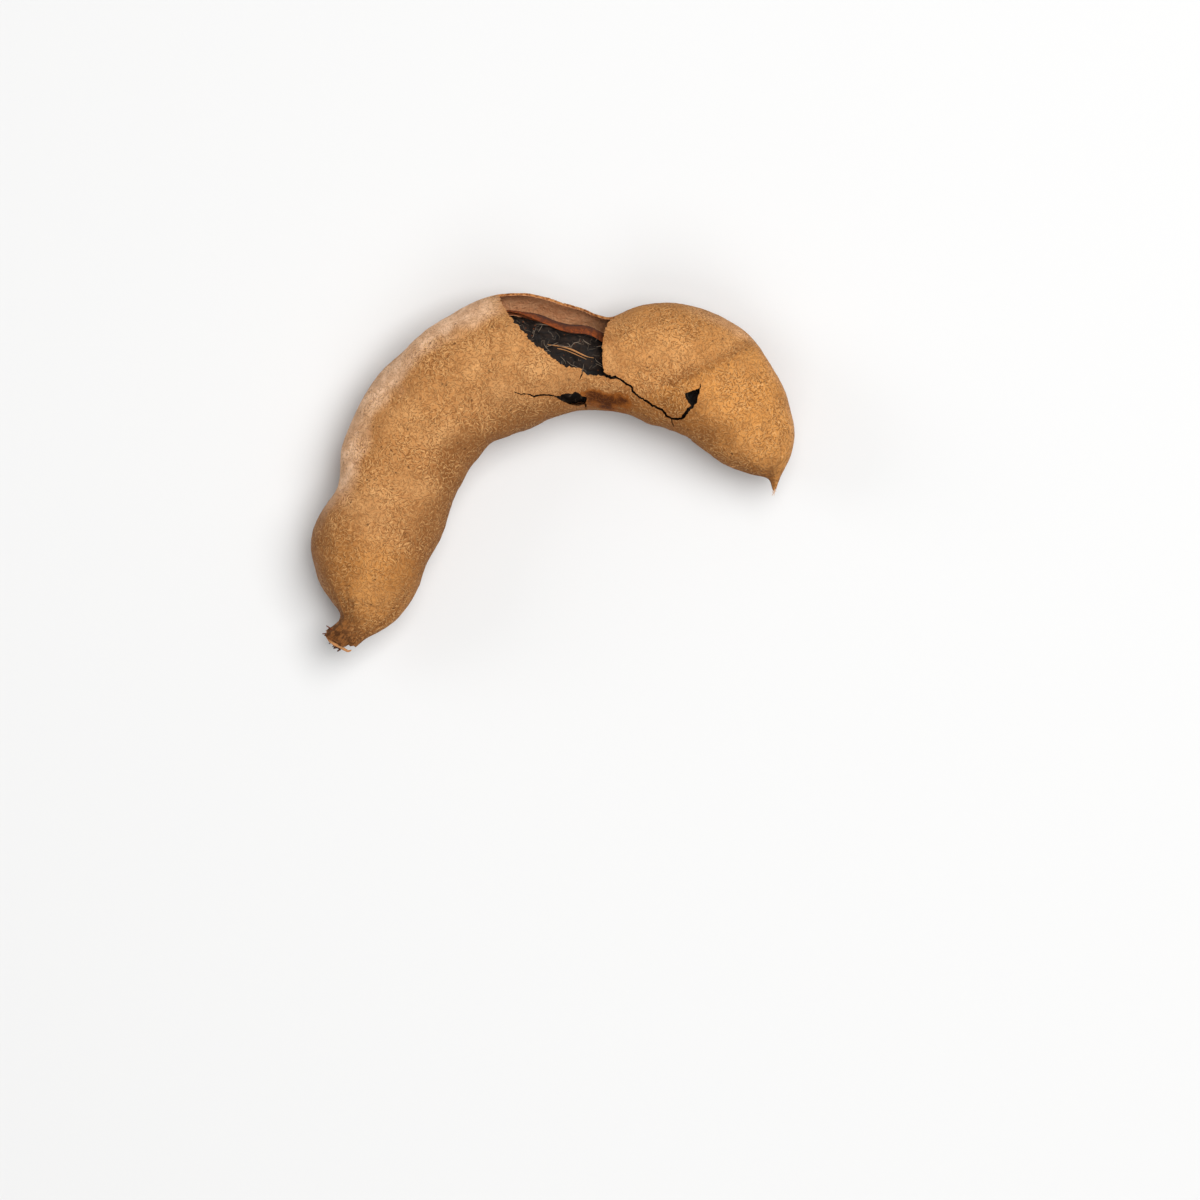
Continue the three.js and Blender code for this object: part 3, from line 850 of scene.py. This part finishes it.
def torn_end(random):
    """The fibres where the stalk has come off: a dark frayed plug, spikes, and a strip peeled across them."""
    plug, spikes = [], []
    out = place(station_at(0), [0], [0])[0] - place(station_at(1.5), [0], [0])[0]
    out /= np.linalg.norm(out)
    for i in range(30):
        turn = 2.4 * i
        radial = math.sqrt((i + 0.5) / 30)
        distance = np.array([7.5, 5.0, 3.2, 2.0])
        spread = np.array([0.5, 1.0, 1.35, 1.6]) * radial
        line = place(station_at(distance), np.cos(turn) * spread, np.sin(turn) * spread)
        tip = line[-1] + out * random.uniform(-0.2, 0.7) + random.normal(size=3) * 0.22
        line = wander(resample(np.vstack([line, tip]), 14), 1.2, 0.25, 90 + i)
        plug.append(tube(line, np.linspace(0.34, 0.12, 14), 6))
    for tip in ([-46.6, -31.7, 11.0], [-47.2, -33.2, 10.2], [-45.9, -32.9, 11.9]):
        root = place(station_at(np.array([4.0])), [0.8], [0.9])[0]
        line = resample(np.array([root, (root + tip) / 2 + (0, 0, 0.4), tip]), 12)
        spikes.append(tube(wander(line, 1, 0.15, 97), np.linspace(0.34, 0.1, 12), 6))
    strip = [
        (-46.5, -33.8, 11.2), (-45.8, -34.7, 12.0), (-45.0, -35.3, 12.4), (-43.6, -35.9, 12.4),
        (-42.7, -36.5, 12.0), (-42.0, -36.9, 11.6), (-41.4, -36.6, 11.5),
    ]
    line = resample(np.array(strip), 30)
    share = np.linspace(0, 1, 30)
    return plug, spikes, [ribbon(line, 0.25 + 0.45 * np.sin(np.pi * share) ** 0.7, 0.22)]


def tip_fibres(random):
    """Pale fibres at the beak's tip, and a tuft that has come loose on the inner side."""
    tubes = []
    for start, heading, count in (
        ((45.3, -2.6, 10.4), (0.05, -1, 0), 9),
        ((37.6, 1.2, 12.2), (-0.8, -0.5, 0.1), 6),
    ):
        for i in range(count):
            root = np.array(start) + random.normal(size=3) * 0.22
            way = np.array(heading) + random.normal(size=3) * 0.28
            tip = root + way * random.uniform(0.8, 1.5)
            line = wander(resample(np.array([root, (root + tip) / 2, tip]), 9), 0.8, 0.12, 200 + i)
            tubes.append(tube(line, np.linspace(0.12, 0.04, 9), 5))
    return tubes


def resample(points, count):
    """A smooth line of that many points through a few."""
    gaps = np.linalg.norm(np.diff(points, axis=0), axis=1)
    along = np.concatenate([[0], np.cumsum(gaps)])
    where = np.linspace(0, along[-1], count)
    line = np.column_stack([np.interp(where, along, points[:, k]) for k in range(3)])
    for _ in range(2):
        line[1:-1] = (line[:-2] + 2 * line[1:-1] + line[2:]) / 4
    return line


# Materials

class Nodes:
    """Short names for building one node tree."""

    def __init__(self, name):
        self.material = bpy.data.materials.new(name)
        self.material.use_nodes = True
        self.tree = self.material.node_tree
        self.shader = self.tree.nodes["Principled BSDF"]
        self.place = self.add("ShaderNodeTexCoord").outputs["Object"]

    def add(self, kind, **settings):
        node = self.tree.nodes.new(kind)
        for key, value in settings.items():
            setattr(node, key, value)
        return node

    def link(self, value, socket):
        """Joins an output to a socket, or sets a number or colour on it."""
        if isinstance(value, bpy.types.NodeSocket):
            self.tree.links.new(value, socket)
        else:
            socket.default_value = value

    def attribute(self, name):
        return self.add("ShaderNodeAttribute", attribute_name=name).outputs["Fac"]

    def math(self, operation, a, b=0.0):
        node = self.add("ShaderNodeMath", operation=operation)
        self.link(a, node.inputs[0])
        self.link(b, node.inputs[1])
        return node.outputs[0]

    def spread(self, value, low, high, to_low=0.0, to_high=1.0):
        """Carries a value's range from low to high softly to another range."""
        node = self.add("ShaderNodeMapRange", interpolation_type="SMOOTHSTEP")
        for socket, v in zip(node.inputs, (value, low, high, to_low, to_high)):
            self.link(v, socket)
        return node.outputs[0]

    def texture(self, kind, size_mm, place=None):
        node = self.add(kind)
        self.link(place or self.place, node.inputs["Vector"])
        node.inputs["Scale"].default_value = 1 / (size_mm * MM)
        return node

    def noise(self, size_mm, detail=2.0, distortion=0.0):
        node = self.texture("ShaderNodeTexNoise", size_mm)
        node.inputs["Detail"].default_value = detail
        node.inputs["Distortion"].default_value = distortion
        return node.outputs["Fac"]

    def cells(self, size_mm):
        """How far a point is from the nearest of scattered middles, as a share of the size."""
        return self.texture("ShaderNodeTexVoronoi", size_mm).outputs["Distance"]

    def vector(self, operation, a, b=(0.0, 0.0, 0.0), output="Vector"):
        node = self.add("ShaderNodeVectorMath", operation=operation)
        self.link(a, node.inputs[0])
        self.link(b, node.inputs[1])
        return node.outputs[output]

    def centred(self, colour):
        """A colour as a vector whose three parts lie evenly round 0."""
        return self.vector("SUBTRACT", colour, (0.5, 0.5, 0.5))

    def drift(self, size_mm, detail, reach):
        """A vector that wanders smoothly from place to place."""
        node = self.texture("ShaderNodeTexNoise", size_mm)
        node.inputs["Detail"].default_value = detail
        return self.vector("MULTIPLY", self.centred(node.outputs["Color"]), (reach,) * 3)

    def fibres(self, pitch_mm, width_mm, length_mm, seed):
        """Short bent strokes that lie in the surface: 1 on a stroke, 0 beside it.

        Each stroke is turned its own way, and neighbours partly the same way.
        """
        bend_size, bend_reach = 1.2, 0.9 * MM
        flow_size, flow_strength = 3.5, 2.6
        moved = self.vector("ADD", self.place, self.drift(bend_size, 0.0, bend_reach))
        moved = self.vector("ADD", moved, (0.31 * seed, 0.17 * seed, 0.23 * seed))
        cell = self.texture("ShaderNodeTexVoronoi", pitch_mm, moved)
        away = self.vector("SUBTRACT", moved, cell.outputs["Position"])
        normal = self.add("ShaderNodeNewGeometry").outputs["Normal"]
        streaming = self.drift(flow_size, 1.0, flow_strength)
        turned = self.vector("ADD", self.centred(cell.outputs["Color"]), streaming)
        along = self.vector("NORMALIZE", self.vector("CROSS_PRODUCT", normal, turned))
        aside = self.vector("CROSS_PRODUCT", normal, along)
        ahead = self.math("ABSOLUTE", self.vector("DOT_PRODUCT", away, along, "Value"))
        across = self.math("ABSOLUTE", self.vector("DOT_PRODUCT", away, aside, "Value"))
        thin = self.spread(across, width_mm * MM, 0.3 * width_mm * MM)
        short = self.spread(ahead, length_mm * MM, 0.6 * length_mm * MM)
        return self.math("MULTIPLY", thin, short)

    def mix(self, share, a, b):
        node = self.add("ShaderNodeMix", data_type="RGBA")
        self.link(share, node.inputs["Factor"])
        self.link(a, node.inputs["A"])
        self.link(b, node.inputs["B"])
        return node.outputs["Result"]

    def coat(self, under, colour, share, strength):
        """The colour over what lies under it, where and as strongly as the share and the strength say."""
        return self.mix(self.math("MULTIPLY", share, strength), under, colour)

    def bump(self, height, depth_mm, strength):
        node = self.add("ShaderNodeBump")
        node.inputs["Strength"].default_value = strength
        node.inputs["Distance"].default_value = depth_mm * MM
        self.link(height, node.inputs["Height"])
        return node.outputs["Normal"]


def rgb(red, green, blue):
    """A colour as a screen shows it, 0 to 255, as the shader's linear numbers."""
    def linear(v):
        v /= 255
        return v / 12.92 if v <= 0.04045 else ((v + 0.055) / 1.055) ** 2.4

    return (linear(red), linear(green), linear(blue), 1.0)


GROUND_BROWN, GROUND_TAN = rgb(181, 126, 74), rgb(203, 148, 93)
# The rim colour is a painted sheen
RIM_SHEEN, GOLD = rgb(236, 194, 158), rgb(212, 144, 71)
# The shade colour is painted shade
MOTTLE, PAINTED_SHADE = rgb(158, 104, 56), rgb(120, 72, 32)
STROKE_DARK, STROKE_LIGHT = rgb(112, 66, 28), rgb(244, 190, 126)
SPECKLE, PIT = rgb(126, 80, 42), rgb(60, 36, 20)
STAIN_RUST, STAIN_BROWN = rgb(142, 78, 22), rgb(74, 34, 6)
END_BROWN, SHRIVELLED, EDGE_BROWN = rgb(116, 70, 34), rgb(66, 38, 20), rgb(168, 104, 52)
TORN_BROWN, TORN_TAN = rgb(138, 76, 34), rgb(200, 138, 80)
WALL_PINK, WALL_PALE, WALL_BROWN = rgb(222, 152, 106), rgb(240, 176, 128), rgb(176, 108, 66)
PULP_BLACK, PULP_BROWN = rgb(19, 15, 13), rgb(46, 36, 30)
PULP_HAIR, PULP_CRUMB = rgb(104, 90, 76), rgb(122, 66, 34)
FIBRE_BROWN, FIBRE_RUST, FIBRE_PATCH = rgb(92, 42, 15), rgb(148, 72, 27), rgb(92, 44, 24)
FIBRE_SUNK, FIBRE_PALE, FIBRE_ASH = rgb(52, 34, 26), rgb(214, 160, 104), rgb(130, 114, 98)


def shell_material():
    n = Nodes("felted_shell")
    # Felt: light and dark strokes over a mottled ground
    light = n.math("MAXIMUM", n.fibres(1.0, 0.13, 0.6, 1), n.fibres(1.3, 0.12, 0.6, 2))
    dark = n.math("MAXIMUM", n.fibres(0.8, 0.12, 0.44, 3), n.fibres(1.05, 0.13, 0.55, 4))
    grain = n.noise(0.3, 3.0)
    patches = n.spread(n.noise(11.0, 3.0, 0.4), 0.36, 0.64)
    mottle = n.spread(n.noise(3.0, 4.0, 0.6), 0.36, 0.66)
    strong = n.spread(n.noise(7.0, 2.0), 0.35, 0.65, 0.45, 1.0)
    strong = n.math("MULTIPLY", strong, n.spread(n.attribute("painted_sheen"), 0.3, 1.0, 1.0, 0.65))
    strong = n.math("MULTIPLY", strong, n.spread(n.attribute("ends"), 0.3, 0.9, 1.0, 0.4))
    skin = n.mix(patches, GROUND_BROWN, GROUND_TAN)
    # Painted sheen along the outer rims
    skin = n.coat(skin, RIM_SHEEN, n.attribute("painted_sheen"), 0.95)
    skin = n.coat(skin, GOLD, n.attribute("gold"), 0.75)
    skin = n.coat(skin, MOTTLE, mottle, 0.4)
    # Painted shade: darker below, inside the bend, in hollows and at the neck
    skin = n.coat(skin, PAINTED_SHADE, n.attribute("dark"), 0.72)
    skin = n.coat(skin, STROKE_DARK, n.math("MULTIPLY", dark, strong), 0.7)
    skin = n.coat(skin, STROKE_LIGHT, n.math("MULTIPLY", light, strong), 0.42)
    skin = n.mix(n.spread(grain, 0.56, 0.76, 0.0, 0.35), skin, SPECKLE)
    # Dark pits, few and small
    pits = n.math("MULTIPLY", n.spread(n.cells(1.7), 0.19, 0.08), n.spread(n.noise(2.4), 0.42, 0.6))
    skin = n.coat(skin, PIT, pits, 0.5)
    # The stain at the pinch, whose core the light strokes show through
    stain = n.attribute("stain")
    skin = n.mix(n.spread(stain, 0.0, 0.5, 0.0, 0.9), skin, STAIN_RUST)
    core = n.spread(stain, 0.35, 0.9, 0.0, 0.95)
    skin = n.coat(skin, STAIN_BROWN, core, n.spread(light, 0.0, 1.0, 1.0, 0.6))
    # The browner ends and the edges of the breaks
    ends = n.attribute("ends")
    skin = n.coat(skin, END_BROWN, ends, 0.7)
    skin = n.coat(skin, SHRIVELLED, ends, n.spread(n.noise(1.1, 4.0, 0.5), 0.41, 0.57, 0.0, 0.85))
    skin = n.coat(skin, EDGE_BROWN, n.attribute("edge"), 0.25)
    # The torn edge and the inner wall
    depth = n.attribute("depth")
    torn = n.mix(n.spread(n.noise(0.7, 3.0), 0.35, 0.65), TORN_BROWN, TORN_TAN)
    # The inner wall's pinkish tan, made paler than its own colour: partly painted light for the shaded window
    wall = n.mix(n.spread(n.noise(1.6, 4.0, 1.5), 0.35, 0.7), WALL_PINK, WALL_PALE)
    wall = n.mix(n.spread(n.noise(7.0, 3.0), 0.4, 0.7, 0.0, 0.4), wall, WALL_BROWN)
    colour = n.mix(n.spread(depth, 0.08, 0.2), skin, torn)
    colour = n.mix(n.spread(depth, 0.8, 0.92), colour, wall)
    n.link(colour, n.shader.inputs["Base Color"])
    rough = n.spread(grain, 0.3, 0.7, 0.7, 0.92)
    n.link(rough, n.shader.inputs["Roughness"])
    n.shader.inputs["Specular IOR Level"].default_value = 0.12
    # Relief finer than the mesh
    height = n.math("SUBTRACT", n.math("MULTIPLY", light, 0.8), n.math("MULTIPLY", dark, 0.7))
    height = n.math("ADD", height, n.math("MULTIPLY", grain, 0.8))
    height = n.math("SUBTRACT", height, n.math("MULTIPLY", pits, 1.5))
    n.link(n.bump(height, 0.09, 1.0), n.shader.inputs["Normal"])
    return n.material


def pulp_material():
    n = Nodes("dried_pulp")
    wet = n.noise(1.3, 5.0, 0.8)
    colour = n.mix(n.spread(wet, 0.32, 0.72), PULP_BLACK, PULP_BROWN)
    colour = n.coat(colour, PULP_HAIR, n.fibres(2.2, 0.13, 1.3, 5), 0.5)
    crumbs = n.spread(n.cells(1.5), 0.16, 0.05, 0.0, 0.7)
    colour = n.mix(crumbs, colour, PULP_CRUMB)
    n.link(colour, n.shader.inputs["Base Color"])
    n.link(n.spread(wet, 0.3, 0.7, 0.55, 0.85), n.shader.inputs["Roughness"])
    n.shader.inputs["Specular IOR Level"].default_value = 0.15
    n.link(n.bump(wet, 0.35, 0.9), n.shader.inputs["Normal"])
    return n.material


def strand_material():
    n = Nodes("dry_fibre")
    streaks = n.noise(0.5, 4.0, 0.6)
    colour = n.mix(n.spread(streaks, 0.35, 0.65), FIBRE_BROWN, FIBRE_RUST)
    patches = n.spread(n.noise(5.0, 2.0), 0.45, 0.65, 0.0, 0.5)
    colour = n.mix(patches, colour, FIBRE_PATCH)
    for look, its_colour in zip(LOOKS, (FIBRE_SUNK, FIBRE_PALE, FIBRE_ASH)):
        colour = n.mix(n.attribute(look), colour, its_colour)
    n.link(colour, n.shader.inputs["Base Color"])
    n.link(n.spread(streaks, 0.3, 0.7, 0.6, 0.85), n.shader.inputs["Roughness"])
    n.shader.inputs["Specular IOR Level"].default_value = 0.2
    n.link(n.bump(streaks, 0.08, 0.8), n.shader.inputs["Normal"])
    return n.material


# The stage

PICTURE_MIDDLE = (9.57, -26.34)  # the middle of the photograph, in the stations' plane
FLOOR_COLOUR = (0.72, 0.72, 0.717, 1)
SKY = 0.2
LAMPS = [  # name, place and size in metres, power in watts
    ("key", (0.34, 0.24, 1.15), 0.9, 16.2),
    ("rim", (-0.9, 0.3, 0.5), 0.5, 2),
    ("fill", (0.05, -0.65, 0.85), 0.7, 3),
]


def add_camera():
    """Straight above the middle of the picture, whose 1200 pixels are 246 millimetres at the pod."""
    view_width, height, sensor = 246.0, 2400.0, 36.0
    camera = bpy.data.objects.new("camera", bpy.data.cameras.new("camera"))
    camera.data.sensor_width = sensor
    camera.data.lens = sensor * height / view_width
    camera.data.clip_end = 10
    camera.location = to_frame([*PICTURE_MIDDLE, MID_HEIGHT + height])
    bpy.context.scene.collection.objects.link(camera)
    bpy.context.scene.camera = camera


def add_light(name, place_m, size, power):
    """A square lamp, sized in metres, that faces the pod."""
    light = bpy.data.objects.new(name, bpy.data.lights.new(name, "AREA"))
    light.data.size = size
    light.data.energy = power
    light.location = place_m
    light.rotation_euler = (-Vector(place_m)).to_track_quat("-Z", "Y").to_euler()
    bpy.context.scene.collection.objects.link(light)


def add_stage():
    bpy.ops.mesh.primitive_plane_add(size=6)
    floor = bpy.context.object
    floor.name = "floor"
    n = Nodes("pale_floor")
    n.shader.inputs["Base Color"].default_value = FLOOR_COLOUR
    n.shader.inputs["Roughness"].default_value = 0.9
    floor.data.materials.append(n.material)
    world = bpy.data.worlds.new("studio")
    world.use_nodes = True
    background = world.node_tree.nodes["Background"]
    background.inputs["Color"].default_value = (1, 1, 1, 1)
    background.inputs["Strength"].default_value = SKY
    bpy.context.scene.world = world
    for lamp in LAMPS:
        add_light(*lamp)
    bpy.context.scene.view_settings.view_transform = "Standard"


def finish_piece(piece, node, material):
    piece.data.materials.clear()
    piece.data.materials.append(material)
    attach(piece, "root")
    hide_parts(node)


add_camera()
add_stage()
finish_piece(make_shell(), "shell", shell_material())

pulp = add_mesh("pod_pulp", *swept(pulp_point, PULP_START, PULP_END, *PULP_GRID))
weld(pulp)
fix_normals(pulp)
pulp.data.shade_smooth()
finish_piece(pulp, "pulp", pulp_material())
finish_piece(make_strands(), "strands", strand_material())
